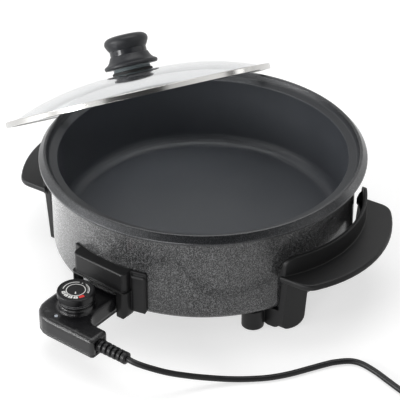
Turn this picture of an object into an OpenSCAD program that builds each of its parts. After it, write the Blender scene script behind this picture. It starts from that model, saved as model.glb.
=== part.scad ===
// Electric skillet: a deep cast pan hung in a painted housing, two handles that go down
// as four legs, a guarded socket with a plug-in thermostat, and a loose glass lid that
// leans on the back of the rim. Millimetres, +Z up, origin on the table under the pan.

/* [Pan] */
// Outside radius of the rim flange
rim_r = 200; // [180:1:240]
// Height of the underside of the rim flange above the table
rim_z = 142; // [125:1:172]
// Width of the flange outside the housing wall
rim_overhang = 13; // [10:0.5:16]
// Height of the rim crest above the underside of the flange
rim_rise = 10; // [8:0.5:12]
// Width of the ledge that the closed lid rests on
ledge_w = 9; // [7:0.5:11]
// Thickness of the cast wall
cast_wall = 4; // [3:0.5:5]
// Thickness of the cast floor
cast_floor = 6; // [4:0.5:8]
// Depth from the ledge to the floor
pan_depth = 92; // [62:0.5:94]
// Radius between wall and floor inside the pan
pan_fillet = 16; // [8:1:24]

/* [Housing] */
// Height of the housing bottom above the table
ground_gap = 27; // [20:1:32]
// Thickness of the housing sheet
sheet = 1.2; // [0.8:0.1:2]
// Outside radius of the bend between wall and bottom
housing_bend = 10; // [6:0.5:14]

/* [Heater] */
// Radius of the element ring
element_ring = 128; // [110:1:140]
// Diameter of the element sheath
element_d = 8; // [6.5:0.5:9.6]
// Diameter of the cold pins
pin_d = 4.8; // [4:0.1:6]
// Distance between the two cold pins
pin_pitch = 26; // [24:0.5:32]
// Diameter of the thermostat probe
probe_d = 6.4; // [5:0.1:8]
// Length of the probe outside the thermostat
probe_len = 108; // [90:1:125]

/* [Handles] */
// Direction of the right handle, the left one is opposite
handle_az = -33; // [-40:1:-26]
// Height of the top of the grip
grip_z = 83; // [70:1:95]
// Thickness of the grip
grip_t = 8; // [6:0.5:10]
// Reach of the grip beyond the rim
grip_reach = 44; // [36:1:53]
// Radius of the outer and inner curves of the grip
grip_arc = 156; // [135:1:185]
// Half the width of the grip
grip_half = 100; // [84:1:105]
// Corner radius of the grip
grip_corner = 22; // [10:1:26]
// Reach of the finger shield beyond the rim
shield_reach = 8; // [5:0.5:12]
// Thickness of the finger shield
shield_t = 4; // [3:0.5:5]
// Height of the shield above the grip
shield_rise = 24; // [16:1:28]
// Thickness of the leg blades
leg_t = 7; // [5:0.5:8]
// Width of a leg
leg_w = 24; // [18:1:29]
// How far a leg leans in from grip to table
leg_lean = 5.5; // [0:0.5:7]
// Diameter of the posts under the housing
post_d = 27; // [22:1:30]

/* [Guard] */
// Direction of the socket
socket_az = -127.4; // [-132:0.1:-122]
// Reach of the visor's front beyond the housing wall
guard_reach = 11.5; // [10:0.5:15]
// Half the width of the visor
guard_half = 38.8; // [37:0.1:44]
// Height of the visor above the socket's centre line
guard_top = 47; // [42:1:52]
// Height of the opening above the socket's centre line
guard_open = 19; // [16:0.5:22]
// Wall of the guard
guard_wall = 3; // [2:0.5:4]
// How far the frame round the opening stands proud of the visor
guard_frame = 2.2; // [1:0.1:3]

/* [Thermostat] */
// Thickness of the thermostat housing
thermo_h = 24.5; // [22:0.5:30]
// Distance from the housing wall to the dial
dial_out = 52.5; // [48:0.5:60]
// Width of the arm that carries the cord
arm_w = 27; // [24:0.5:31]
// Reach of the arm to the right of the probe
arm_reach = 59; // [52:1:68]
// Shell thickness
shell = 2.2; // [1.6:0.1:2.8]
// Diameter of the dial
dial_d = 44; // [38:1:50]
// Thickness of the dial disc
dial_t = 9; // [7:0.5:11]
// Diameter of the dial shaft
shaft_d = 6; // [5:0.5:8]

/* [Lid] */
// Outside radius of the lid
lid_r = 181.5; // [165:0.5:184]
// Height of the steel rim band
band_h = 7.5; // [6:0.5:12]
// Thickness of the glass
glass_t = 4; // [3:0.5:5]
// Height of the crown above the middle of the band
crown = 32; // [26:1:38]
// Diameter of the knob's flange
knob_d = 73; // [60:1:80]
// Height of the knob above its base
knob_h = 44; // [38:1:52]
// Tilt of the leaning lid
lid_tilt = 32.5; // [30:0.1:36]
// Direction that the leaning lid faces
lid_heading = 114.5; // [108:0.1:120]

/* [Cord] */
// Diameter of the mains cord
cord_d = 7; // [6:0.1:8]
// Length of the strain relief outside the housing
relief_len = 40; // [30:1:50]

/* [Hidden] */
$fn = 72;

// Clearances
eps = 0.01;
fit = 0.3;          // between pieces that rest on each other
running = 0.08;     // radial clearance of what turns or slides in a bore
screw_gap = 0.2;    // radial clearance round a screw

// Heights and radii of the pan and its housing
wall_r = rim_r - rim_overhang;
crest_z = rim_z + rim_rise;
ledge_z = rim_z + 0.6;
cast_r = wall_r - sheet - 4.8;
inside_r = cast_r - cast_wall;
floor_top = ledge_z - pan_depth;
floor_under = floor_top - cast_floor;
housing_inside = ground_gap + sheet;

// Heater, socket centre line and what is screwed under the pan
element_z = floor_under - fit - element_d / 2;
boss_half = 7.5;
boss_drop = 10;
shield_z = element_z - 7.7;
shield_sheet = 0.6;
shield_r = 160;
shield_lip = 3.2;
stud_ring = 95;
stud_d = 4;

// Guard and thermostat, in the socket's own frame: x outwards, y to the right
guard_s = wall_r + guard_reach;
nose_s = guard_s - 4;
plate_s = wall_r + fit;
plate_t = 2.5;
pin_end = nose_s + 12;
dial_s = wall_r + dial_out;
arm_in = dial_s + 14.6;
arm_out = arm_in + arm_w;
stem_left = -30.5;
stem_right = 25;
body_left = -36.5;
thermo_top = element_z + thermo_h / 2;
thermo_bot = element_z - thermo_h / 2;
split_z = thermo_bot + 4;
case_head = 1.2;
leaf_s = dial_s - 18;
leaf_y = 6.2;
leaf_z = [-4.5, 4.2];
leaf_t = 0.5;
collar_d = 42;
collar_h = 7;
dial_z = thermo_top + collar_h + 0.4;
skirt_h = 5.6;
relief_s = (arm_in + arm_out) / 2;

// Handle frame: x along the handle's axis, y across it
grip_x = rim_r + grip_reach - grip_arc;
blade_x = rim_r + shield_reach - grip_arc;
shield_half = grip_half - 4;
leg_out = grip_half - 8;
leg_in = leg_out - leg_w;
leg_foot = 0.6;
post_x = 136;
post_y = 101;
post_foot = 2;
screw_seat = 14;
rib_t = 3;
rib_reach = 7;

// Lid frame: z along the lid's axis, from the middle of the band
edge_r = lid_r - 2;
dome_r = lid_r - 10;
dome_z = 2;
dome_power = 2.6;   // flatter in the middle than a sphere, steeper at the band
knob_hole = 3;
gasket_h = 3;
base_h = 5;
vent_out = 121;
lid_low = lid_r * sin(lid_tilt) + band_h / 2 * cos(lid_tilt);
lid_at = [-87.2, 210.2, lid_low];

// Cord: points chosen along the table, coil and plug past them
CORD = [[-83.6, -273, 40.3], [-74.7, -279.4, 39.8], [-59.8, -281.8, 35.2], [-38, -280.2, 26.6],
    [-14.5, -274.6, 17.4], [8, -269.5, 10.4], [31, -266, 5.8], [53, -263.5, 3.9],
    [76, -260.5, 3.6], [99, -254, 3.6], [122, -244.5, 3.6], [140, -237, 3.6],
    [152, -233, 3.6], [169, -231, 3.6], [182, -236, 3.6], [196, -249.5, 3.6],
    [209, -266, 3.6], [221, -281.5, 3.7], [236, -300, 4.2], [252, -320.5, 4.6]];
coil_at = [285, -295, 1];
coil_mid = 38.5;
tie_t = 0.9;
plug_x = coil_at.x + coil_mid;
plug_r = 18.6;
TAIL = [[plug_x, coil_at.y, 11.8], [plug_x, coil_at.y + 12, 13.6],
    [plug_x, coil_at.y + 24, 17.4], [plug_x, coil_at.y + 37, 18.6]];
plug_y = coil_at.y + 37.5;

// ---- helpers ----

function unit(v) = v / norm(v);
function flip(list) = [for (i = [len(list) - 1 : -1 : 0]) list[i]];
function arc(centre, r, from, to, steps) =
    [for (i = [0 : steps]) let (a = from + (to - from) * i / steps)
        centre + r * [cos(a), sin(a)]];

// Points round one corner q between p and s. q is [x, y, radius]; where the outline
// runs straight on, the points spread by the radius to both sides.
function corner(p, q, s, steps) =
    let (a = unit([p.x - q.x, p.y - q.y]), b = unit([s.x - q.x, s.y - q.y]),
        at = [q.x, q.y], bend = 180 - acos(max(-1, min(1, a * b))))
    bend < 0.5 ? [for (i = [0 : steps]) let (t = 1 - 2 * i / steps)
            at + q.z * (t > 0 ? t * a : -t * b)]
    : let (half = (180 - bend) / 2, centre = at + unit(a + b) * q.z / sin(half),
        first = at + a * q.z / tan(half) - centre, start = atan2(first.y, first.x),
        side = a.x * b.y - a.y * b.x < 0 ? 1 : -1)
    arc(centre, q.z, start, start + side * bend, steps);

function rounded(corners, steps = 6) =
    let (n = len(corners))
    [for (i = [0 : n - 1])
        each corner(corners[(i + n - 1) % n], corners[i], corners[(i + 1) % n], steps)];

// The same corners with every edge moved in by d, for an anticlockwise outline
function inset(corners, d) =
    let (n = len(corners))
    [for (i = [0 : n - 1])
        let (p = corners[(i + n - 1) % n], q = corners[i], s = corners[(i + 1) % n],
            e = unit([q.x - p.x, q.y - p.y]), f = unit([s.x - q.x, s.y - q.y]),
            m = [-e.y - f.y, e.x + f.x] / (1 + e * f),
            turn = e.x * f.y - e.y * f.x)
        [q.x + m.x * d, q.y + m.y * d,
            abs(turn) < 0.01 ? q.z : max(0.1, q.z - sign(turn) * d)]];

function lift(points, z) = [for (p = points) [p.x, p.y, z]];

// Solid through rings of equal length, anticlockwise and bottom first. The first half
// of a ring runs along one side and the second half back along the other. The caps are
// strips between the two sides, with their diagonals leaning in from both ends.
module strip_loft(rings) {
    n = len(rings[0]);
    m = len(rings);
    bottom = [for (i = [0 : n / 2 - 2])
        each (i < n / 4 ? [[i, i + 1, n - 2 - i], [i, n - 2 - i, n - 1 - i]]
            : [[i, i + 1, n - 1 - i], [i + 1, n - 2 - i, n - 1 - i]])];
    top = [for (t = bottom) [for (k = flip(t)) k + (m - 1) * n]];
    sides = [for (j = [0 : m - 2], i = [0 : n - 1])
        let (a = j * n + i, b = j * n + (i + 1) % n)
        each [[a, a + n, b + n], [a, b + n, b]]];
    polyhedron([for (r = rings) each r], concat(bottom, top, sides));
}

// Round tube along a list of points
function spline(p, i, t) =
    let (n = len(p) - 1, a = p[max(i - 1, 0)], b = p[i], c = p[min(i + 1, n)],
        d = p[min(i + 2, n)])
    0.5 * (2 * b + (c - a) * t + (2 * a - 5 * b + 4 * c - d) * t * t
        + (3 * b - a - 3 * c + d) * t * t * t);

module sweep(route, r, per = 2, sides = 10) {
    path = [for (i = [0 : len(route) - 2], k = [0 : per - 1]) spline(route, i, k / per),
        route[len(route) - 1]];
    n = len(path);
    ring = function (i)
        let (t = unit(path[min(i + 1, n - 1)] - path[max(i - 1, 0)]),
            u = unit(cross(t, [0, 0, 1])), v = cross(u, t))
        [for (k = [0 : sides - 1]) let (a = 360 * k / sides)
            path[i] + r * (cos(a) * u + sin(a) * v)];
    faces = [for (i = [0 : n - 2], k = [0 : sides - 1])
        let (a = i * sides + k, b = i * sides + (k + 1) % sides)
        each [[a, b + sides, a + sides], [a, b, b + sides]]];
    start = [[for (k = [sides - 1 : -1 : 0]) k]];
    end = [[for (k = [0 : sides - 1]) (n - 1) * sides + k]];
    polyhedron([for (i = [0 : n - 1]) each ring(i)], concat(start, end, faces));
}

module at_socket() rotate([0, 0, socket_az]) children();
module at_lid() translate(lid_at) rotate([0, 0, lid_heading]) rotate([0, lid_tilt, 0])
    children();
module at_handle(side) rotate([0, 0, handle_az + (side > 0 ? 0 : 180)]) children();
module at_studs() for (k = [0 : 3]) rotate([0, 0, socket_az + 45 + 90 * k])
    translate([stud_ring, 0, 0]) children();
module at_posts() for (side = [1, -1], y = [-post_y, post_y]) at_handle(side)
    translate([post_x, y, 0]) children();

// Cylinder along x of the socket's frame, from s to s + h
module along(s, w, z, r, h) translate([s, w, z]) rotate([0, 90, 0]) cylinder(r = r, h = h);
// Extrusion of a (y, z) outline along x, and of an (x, z) outline along y
module along_x(x, h) translate([x, 0, 0]) rotate([90, 0, 90]) linear_extrude(h) children();
module along_y(y, h) translate([0, y + h, 0]) rotate([90, 0, 0]) linear_extrude(h)
    children();

// ---- pan ----

module inner_pan() color([0.16, 0.17, 0.19]) {
    lip = inside_r + 0.8;
    crest_r = rim_r - 7.5;
    difference() {
        union() {
            rotate_extrude($fn = 180) polygon(concat([[0, floor_under]],
                corner([0, floor_under], [cast_r - 2, floor_under, 12],
                    [cast_r, rim_z], 6),
                [[cast_r, rim_z], [rim_r - 0.6, rim_z]],
                arc([rim_r - 0.6, rim_z + 0.6], 0.6, -90, 0, 2),
                [[rim_r, rim_z + 2.2], [rim_r - 0.4, rim_z + 3.2]],
                arc([crest_r, crest_z - 2.6], 2.6, 35, 150, 8),
                [[wall_r + 0.6, ledge_z + 2.9], [wall_r - 0.3, ledge_z + 2.4]],
                [[lip + ledge_w - 0.8, ledge_z + 2.1], [lip, ledge_z + 0.8],
                    [inside_r + 0.2, ledge_z + 0.2], [inside_r, ledge_z - 0.8]],
                corner([inside_r, ledge_z], [inside_r - 2.5, floor_top, pan_fillet],
                    [0, floor_top], 7),
                [[0, floor_top]]));
            at_socket() translate([60, -boss_half, floor_under - boss_drop])
                cube([cast_r - 69, 2 * boss_half, boss_drop + 1]);
            at_studs() translate([0, 0, shield_z + shield_sheet])
                cylinder(d1 = 13, d2 = 16, h = floor_under - shield_z - shield_sheet + 1);
        }
        at_socket() along(70, 0, element_z, probe_d / 2 + running, cast_r);
        at_studs() translate([0, 0, shield_z])
            cylinder(r = stud_d / 2 + eps, h = floor_under - shield_z - 1);
    }
}

module outer_housing() color([0.33, 0.34, 0.35]) {
    difference() {
        rotate_extrude($fn = 180) {
            polygon(concat([[0, ground_gap]],
                arc([wall_r - housing_bend, ground_gap + housing_bend], housing_bend,
                    -90, 0, 6),
                [[wall_r, rim_z], [cast_r + 1, rim_z], [cast_r + 1, rim_z - sheet],
                    [wall_r - sheet, rim_z - sheet]],
                arc([wall_r - housing_bend, ground_gap + housing_bend],
                    housing_bend - sheet, 0, -90, 6),
                [[0, housing_inside]]));
        }
        at_socket() along_x(wall_r - 12, 20) polygon(rounded([
            [-22, element_z - 9, 3], [22, element_z - 9, 3],
            [22, element_z + 9, 3], [-22, element_z + 9, 3]], 4));
        at_studs() translate([0, 0, ground_gap - 1])
            cylinder(r = stud_d / 2 + screw_gap, h = sheet + 2);
        at_posts() translate([0, 0, ground_gap - 1])
            cylinder(r = 2.5 + screw_gap, h = sheet + 2);
        for (a = lug_at) rotate([0, 0, socket_az + a])
            along(wall_r - 8, 0, lug_screw_z, 2 + screw_gap, 16);
    }
}

// ---- heater ----

module heating_element() color([0.45, 0.42, 0.4]) {
    bend = 14;
    leg_y = pin_pitch / 2;
    bend_x = sqrt(pow(element_ring + bend, 2) - pow(leg_y + bend, 2));
    open = atan2(leg_y + bend, bend_x);
    sheath_end = plate_s - 0.1;
    half = concat(
        lift(arc([0, 0], element_ring, 180, open, 22), element_z),
        lift(arc([bend_x, leg_y + bend], bend, 180 + open, 270, 5), element_z),
        [[sheath_end, leg_y, element_z]]);
    whole = concat(flip(half), [for (i = [1 : len(half) - 1])
        [half[i].x, -half[i].y, half[i].z]]);
    at_socket() {
        sweep(whole, element_d / 2, per = 1);
        for (y = [-1, 1]) {
            along(sheath_end - 1, y * leg_y, element_z, pin_d / 2, pin_end - sheath_end);
            translate([pin_end - 1.5, y * leg_y, element_z]) rotate([0, 90, 0])
                cylinder(d1 = pin_d - 0.4, d2 = pin_d - 2, h = 2);
        }
    }
}

module terminal_plate() color([0.75, 0.74, 0.7]) at_socket() difference() {
    along_x(plate_s, plate_t) polygon(rounded([
        [-33, element_z - 13, 2], [33, element_z - 13, 2],
        [33, element_z + 13, 2], [-33, element_z + 13, 2]], 4));
    for (y = [-1, 1]) along(plate_s - 1, y * pin_pitch / 2, element_z,
        pin_d / 2 + screw_gap, plate_t + 2);
    along(plate_s - 1, 0, element_z, probe_d / 2 + 0.8, plate_t + 2);
}

module pin_insulators() color([0.93, 0.92, 0.88]) at_socket()
    for (y = [-1, 1]) difference() {
        along(plate_s + plate_t, y * pin_pitch / 2, element_z, pin_d / 2 + 2.2, 3);
        along(plate_s + plate_t - 1, y * pin_pitch / 2, element_z,
            pin_d / 2 + screw_gap, 5);
    }

module heat_shield() color([0.7, 0.71, 0.72]) difference() {
    rotate_extrude($fn = 120) polygon([[0, shield_z], [shield_r - 1, shield_z],
        [shield_r, shield_z - shield_lip], [shield_r + shield_sheet, shield_z - shield_lip],
        [shield_r - 0.4, shield_z + shield_sheet], [0, shield_z + shield_sheet]]);
    at_studs() translate([0, 0, shield_z - 1])
        cylinder(r = stud_d / 2 + screw_gap, h = 3);
}

module shield_spacers() color([0.62, 0.63, 0.64]) at_studs() difference() {
    translate([0, 0, housing_inside]) cylinder(d = 11, h = shield_z - housing_inside);
    translate([0, 0, housing_inside - 1])
        cylinder(r = stud_d / 2 + screw_gap, h = shield_z - housing_inside + 2);
}

// Pan-head screw pointing up, with a cross slot, its head's seat at z = 0
module screw(d, length, head = 2) difference() {
    union() {
        cylinder(d = d, h = length);
        translate([0, 0, -head]) cylinder(d1 = 1.7 * d, d2 = 2.05 * d, h = head);
    }
    for (a = [0, 90]) rotate([0, 0, a]) translate([-0.55 * d, -0.15 * d, -head - 1])
        cube([1.1 * d, 0.3 * d, 1 + head * 0.6]);
}

module body_screws() color([0.75, 0.75, 0.77]) at_studs()
    translate([0, 0, ground_gap]) screw(stud_d, floor_under - ground_gap - 3);

// ---- handles ----

// One ring of the grip's outline, every edge moved in by d
function grip_ring(d, z) =
    let (corner_x = grip_x + sqrt(pow(grip_arc - grip_corner, 2)
            - pow(grip_half - grip_corner, 2)),
        corner_y = grip_half - grip_corner, turn = atan2(corner_y, corner_x - grip_x),
        root = grip_arc - shield_t / 2, half = grip_half - d, open = asin(half / root),
        back_x = blade_x + root * cos(open),
        front = concat([[back_x + shield_t, -half]],
            arc([corner_x, -corner_y], grip_corner - d, -90, -turn, 6),
            arc([grip_x, 0], grip_arc - d, -turn * 7 / 8, turn * 7 / 8, 14),
            arc([corner_x, corner_y], grip_corner - d, turn, 90, 6),
            [[back_x + shield_t, half]]),
        back = arc([blade_x, 0], root, open, -open, len(front) - 1))
    lift(concat(front, back), z);

module blade(r_top, r_foot, z_top, z_foot, t) translate([blade_x, 0, 0])
    rotate([0, 0, -60]) rotate_extrude(angle = 120, $fn = 120)
    polygon([[r_foot - t, z_foot], [r_foot, z_foot], [r_top, z_top], [r_top - t, z_top]]);

module handle_shape() difference() {
    union() {
        handle_frame();
        strip_loft([grip_ring(2.4, grip_z - grip_t), grip_ring(0.6, grip_z - grip_t + 1),
            grip_ring(0, grip_z - grip_t + 2.4), grip_ring(0, grip_z - 2.4),
            grip_ring(0.7, grip_z - 0.8), grip_ring(2.2, grip_z)]);
    }
    for (y = [-post_y, post_y]) translate([post_x, y, 0]) {
        cylinder(d = 12, h = screw_seat);
        cylinder(r = 2.5 + screw_gap, h = ground_gap + 1);
    }
}

// Finger shield, two legs, their arms and the posts
module handle_frame() {
    shield_low = grip_z - grip_t - 5;
    shield_top = grip_z + shield_rise;
    intersection() {
        blade(grip_arc, grip_arc, shield_top, shield_low, shield_t);
        along_x(100, 200) polygon(rounded([
            [-shield_half, shield_low, 4], [shield_half, shield_low, 4],
            [shield_half, shield_top, 13], [-shield_half, shield_top, 13]], 6));
    }
    for (side = [0, 1]) mirror([0, side, 0]) {
        shield_rib(shield_half - 4, shield_low, shield_top - 9);
        shield_rib(62, shield_low, shield_top - 12);
        intersection() {
            blade(grip_arc - 0.6, grip_arc - leg_lean, grip_z - 4, -1, leg_t);
            along_x(100, 200) polygon(rounded([
                [leg_in, leg_foot, 14], [leg_out, leg_foot, 7],
                [leg_out, grip_z - 4, 2], [leg_in, grip_z - 4, 2]], 6));
        }
        leg_root();
        translate([post_x, post_y, post_foot])
            cylinder(d = post_d, h = ground_gap - post_foot);
    }
}

// Rib on the wall side of the shield, at y, with a sloped top
module shield_rib(y, low, high) {
    x = blade_x + sqrt(pow(grip_arc - shield_t / 2, 2) - pow(y + rib_t, 2));
    along_y(y, rib_t) polygon([[x - rib_reach, low + 6], [x, low], [x, high],
        [x - rib_reach * 0.6, high - 6], [x - rib_reach, high - 14]]);
}

// Arm from the foot of a leg to its post
module leg_root() {
    arm_t = 8;
    arm_top = ground_gap - 0.3;
    arm_x = blade_x + sqrt(pow(grip_arc - leg_lean - 3, 2) - pow(leg_out, 2));
    along_y(leg_out - arm_t, arm_t) polygon(rounded([
        [post_x, post_foot + 0.2, 0.5], [post_x + 11, post_foot + 0.2, 0.5],
        [post_x + 15, leg_foot, 1], [arm_x, leg_foot, 9],
        [arm_x, arm_top, 1], [post_x, arm_top, 1]], 5));
}

module handle_right() color([0.1, 0.1, 0.11]) at_handle(1) handle_shape();
module handle_left() color([0.1, 0.1, 0.11]) at_handle(-1) handle_shape();

module foot_pads() color([0.06, 0.06, 0.06]) at_posts() difference() {
    cylinder(d1 = post_d - 5, d2 = post_d - 3, h = post_foot);
    translate([0, 0, -1]) cylinder(d = 13, h = post_foot + 2);
}

module handle_screws() color([0.75, 0.75, 0.77]) at_posts()
    translate([0, 0, screw_seat]) screw(5, housing_inside + 5 - screw_seat, 3);

module nut_plates() color([0.6, 0.6, 0.62]) at_posts() difference() {
    translate([0, 0, housing_inside + 0.05]) cylinder(d = 13, h = 3.5);
    translate([0, 0, housing_inside - 1]) cylinder(r = 2.5 + eps, h = 6);
}

// ---- socket guard ----

lug_at = [-13.8, 14.4]; // directions of the two lugs from the socket
lug_half = [5, 9.5];
lug_drop = [20, 4];
lug_reach = 6;
guard_mid = -1.5;       // middle of the hood, left of the socket
jamb_right = 26.5;      // inner edges of the two jambs
jamb_left = -38;
lug_screw_z = element_z + 14;

module socket_guard() color([0.11, 0.11, 0.12]) at_socket() {
    top = element_z + guard_top;
    low = element_z - 17;
    open = element_z + guard_open;
    frame_s = guard_s + guard_frame;
    frame_half = guard_half + guard_frame;
    difference() {
        union() {
            intersection() {
                along_y(guard_mid - guard_half, 2 * guard_half) polygon(rounded([
                    [wall_r - 14, low + 2, 1], [guard_s, low + 2, 1],
                    [guard_s, top - 1.5, 2.5], [wall_r - 14, top + 2, 1]], 5));
                guard_plan(guard_s, guard_half, low, top);
            }
            intersection() {
                along_y(guard_mid - frame_half, 2 * frame_half) polygon(rounded([
                    [wall_r - 15, low, 1], [frame_s, low, 3],
                    [frame_s, open + 1.8, 0.8], [wall_r - 15, open + 1.8, 0.8]], 5));
                guard_plan(frame_s, frame_half, low, top);
                along_x(wall_r - 16, 60) polygon(rounded([
                    [guard_mid - frame_half, low, 8], [guard_mid + frame_half, low, 8],
                    [guard_mid + frame_half, top, 2], [guard_mid - frame_half, top, 2]], 6));
            }
            rotate([0, 0, lug_at[0] - 1.2]) rotate_extrude(
                angle = lug_at[1] - lug_at[0] + 4, $fn = 120)
                polygon([[wall_r - 4, element_z - 7], [wall_r + guard_wall, element_z - 7],
                    [wall_r + guard_wall, top - 0.5], [wall_r - 4, top + 1.5]]);
            for (k = [0, 1]) rotate([0, 0, lug_at[k]]) guard_lug(lug_half[k],
                element_z - 10, top - lug_drop[k]);
        }
        cylinder(r = wall_r + fit, h = 300, center = true, $fn = 180);
        // cavity behind the visor, open at the bottom, and the opening under it
        along_y(jamb_left, 33.5 - jamb_left) polygon([
            [wall_r - 25, low - 5], [guard_s - 1, low - 5],
            [guard_s - 1, open - 2], [guard_s - guard_wall, open + 3],
            [guard_s - guard_wall, top - 5], [wall_r - 25, top - 3.4]]);
        along_x(guard_s - 5, 20) polygon(rounded([
            [jamb_left + 0.01, low - 6, 1], [jamb_right, low - 6, 1],
            [jamb_right, open, 3], [jamb_left + 0.01, open, 2]], 5));
        for (a = lug_at) rotate([0, 0, a])
            along(wall_r - 1, 0, lug_screw_z, 1.9 + eps, 5.6);
    }
}

// Block for one screw on the wall, every outer edge rounded
module guard_lug(half, low, high) intersection() {
    along_y(-half, 2 * half) polygon(rounded([[wall_r - 8, low, 1],
        [wall_r + lug_reach, low, 4], [wall_r + lug_reach, high, 4],
        [wall_r - 8, high, 1]], 5));
    translate([0, 0, low - 1]) linear_extrude(high - low + 2) polygon(rounded([
        [wall_r - 8, -half, 0.5], [wall_r + lug_reach, -half, 4],
        [wall_r + lug_reach, half, 4], [wall_r - 8, half, 0.5]], 5));
    along_x(wall_r - 9, lug_reach + 12) polygon(rounded([[-half, low, 4],
        [half, low, 4.5], [half, high, 4.5], [-half, high, 4]], 5));
}

// Plan of the guard down to half, with rounded front corners
module guard_plan(front, half, low, top) translate([0, 0, low - 1])
    linear_extrude(top - low + 10) polygon(rounded([
        [wall_r - 18, guard_mid - half, 0.1],
        [front, guard_mid - half, 6],
        [front, guard_mid + half, 6], [wall_r - 18, guard_mid + half, 0.1]], 6));

module guard_screws() color([0.75, 0.75, 0.77])
    for (a = lug_at) rotate([0, 0, socket_az + a])
        translate([wall_r - sheet - 0.6, 0, lug_screw_z]) rotate([0, 90, 0])
        screw(3.8, 5.4);

// ---- lid, in its own frame ----

// Height of the glass at radius r, or of its underside where drop is its thickness
function dome(r, drop = 0) = crown - drop - (crown - dome_z) * pow(r / dome_r, dome_power);
function dome_slope(r) = atan((crown - dome_z) * dome_power / dome_r
    * pow(r / dome_r, dome_power - 1));

module lid_glass() color([0.75, 0.82, 0.84, 0.35]) at_lid() difference() {
    rotate_extrude($fn = 180) polygon(concat([[0, crown - glass_t]],
        [for (i = [1 : 14]) let (r = dome_r * i / 14) [r, dome(r, glass_t)]],
        [[edge_r, dome_z - glass_t - 0.7], [edge_r, dome_z - 0.7]],
        [for (i = [14 : -1 : 1]) let (r = dome_r * i / 14) [r, dome(r)]],
        [[0, crown]]));
    cylinder(r = knob_hole, h = 100);
    at_vent() cylinder(r = 4, h = 30, center = true);
}

module lid_rim_band() color([0.8, 0.8, 0.82]) at_lid() {
    t = 0.8;
    half = band_h / 2;
    rotate_extrude($fn = 180) polygon([[lid_r - 7, -half], [lid_r - 0.6, -half],
        [lid_r, -half + 0.6], [lid_r, half - 1], [lid_r - 0.8, half - 0.2],
        [lid_r - 1.8, half - 0.2], [lid_r - 7.5, dome_z + 1.1], [lid_r - 7.5, dome_z + 0.3],
        [lid_r - 2, half - t - 0.5], [lid_r - t, half - t - 0.8], [lid_r - t, -half + t],
        [lid_r - 5, -half + t], [lid_r - 5, -half + 1], [lid_r - 7, -half + 1]]);
}

module knob_gasket() color([0.07, 0.07, 0.07]) at_lid() difference() {
    rotate_extrude($fn = 96) polygon(concat([[0, crown + fit]],
        [for (i = [1 : 5]) let (r = 27.5 * i / 5) [r, dome(r) + fit]],
        [[27.5, crown + gasket_h - 0.5], [27, crown + gasket_h], [0, crown + gasket_h]]));
    cylinder(r = knob_hole + 0.3, h = 100);
}

module knob_base() color([0.3, 0.31, 0.33]) at_lid() difference() {
    translate([0, 0, crown + gasket_h]) rotate_extrude($fn = 96) polygon([[0, 0],
        [24.5, 0], [25.5, 1], [24.8, base_h - 1.5], [26, base_h], [0, base_h]]);
    cylinder(r = knob_hole + 0.2, h = 100);
}

module lid_knob() color([0.13, 0.13, 0.14]) at_lid() {
    r = knob_d / 2;
    neck = 0.69 * r;
    cap = 0.82 * r;
    difference() {
        translate([0, 0, crown + gasket_h + base_h]) rotate_extrude($fn = 120)
            polygon(concat([[0, 0], [r - 1, 0]],
                arc([r - 2, 2], 2, -60, 60, 4),
                // concave flare up to the neck
                [for (i = [1 : 8]) let (t = i / 9)
                    [r - 1.2 - (r - neck - 1) * pow(t, 0.62), 3.6 + 15 * pow(t, 1.25)]],
                [for (i = [0 : 4]) let (t = i / 4)
                    [neck + (cap - neck) * 0.5 * (1 - cos(180 * t)), 19 + 12 * t]],
                arc([cap - 11, knob_h - 12], 11, 20, 90, 7),
                [[0, knob_h]]));
        cylinder(r = 2.5 + eps, h = crown + 30);
    }
}

module knob_washer() color([0.6, 0.6, 0.62]) at_lid() difference() {
    translate([0, 0, crown - glass_t - 2]) cylinder(d1 = 20, d2 = 22, h = 2 - fit - 0.15);
    cylinder(r = 2.5 + screw_gap, h = 100);
}

module knob_screw() color([0.75, 0.75, 0.77]) at_lid()
    translate([0, 0, crown - glass_t - 2]) screw(5, glass_t + 24, 2.6);

module at_vent() translate([0, -vent_out, dome(vent_out)])
    rotate([dome_slope(vent_out), 0, 0]) children();

module steam_vent() color([0.75, 0.75, 0.77]) at_lid() at_vent() difference() {
    union() {
        translate([0, 0, -glass_t - 1.5]) cylinder(r = 3.7, h = glass_t + 2.6);
        translate([0, 0, 0.2]) cylinder(r1 = 6.5, r2 = 5.6, h = 1.2);
        translate([0, 0, -glass_t - 1.5]) cylinder(r = 6, h = 1.1);
    }
    translate([0, 0, -10]) cylinder(r = 2, h = 20);
}

// ---- thermostat, in the socket's frame ----

// Corners of the case from above. Five run along the left side and the front, and
// five back along the right side.
case_outline = [[nose_s, stem_left, 2], [dial_s - 20, stem_left, 6],
    [dial_s - 6, body_left, 8], [arm_out, body_left, 27], [arm_out, arm_reach, 4],
    [arm_in, arm_reach, 4], [arm_in, stem_right, 17],
    [dial_s - 6, stem_right, 3], [dial_s - 20, stem_right, 3],
    [nose_s, stem_right, 2]];

function case_ring(d, z) = lift(rounded(inset(case_outline, d), 5), z);

module case_bosses(gap = 0) for (p = [[nose_s + 9, stem_left + 6.5],
        [arm_out - 15, body_left + 15], [arm_out - 6.5, arm_reach - 32]])
    translate([p.x, p.y, 0]) children();

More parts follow.
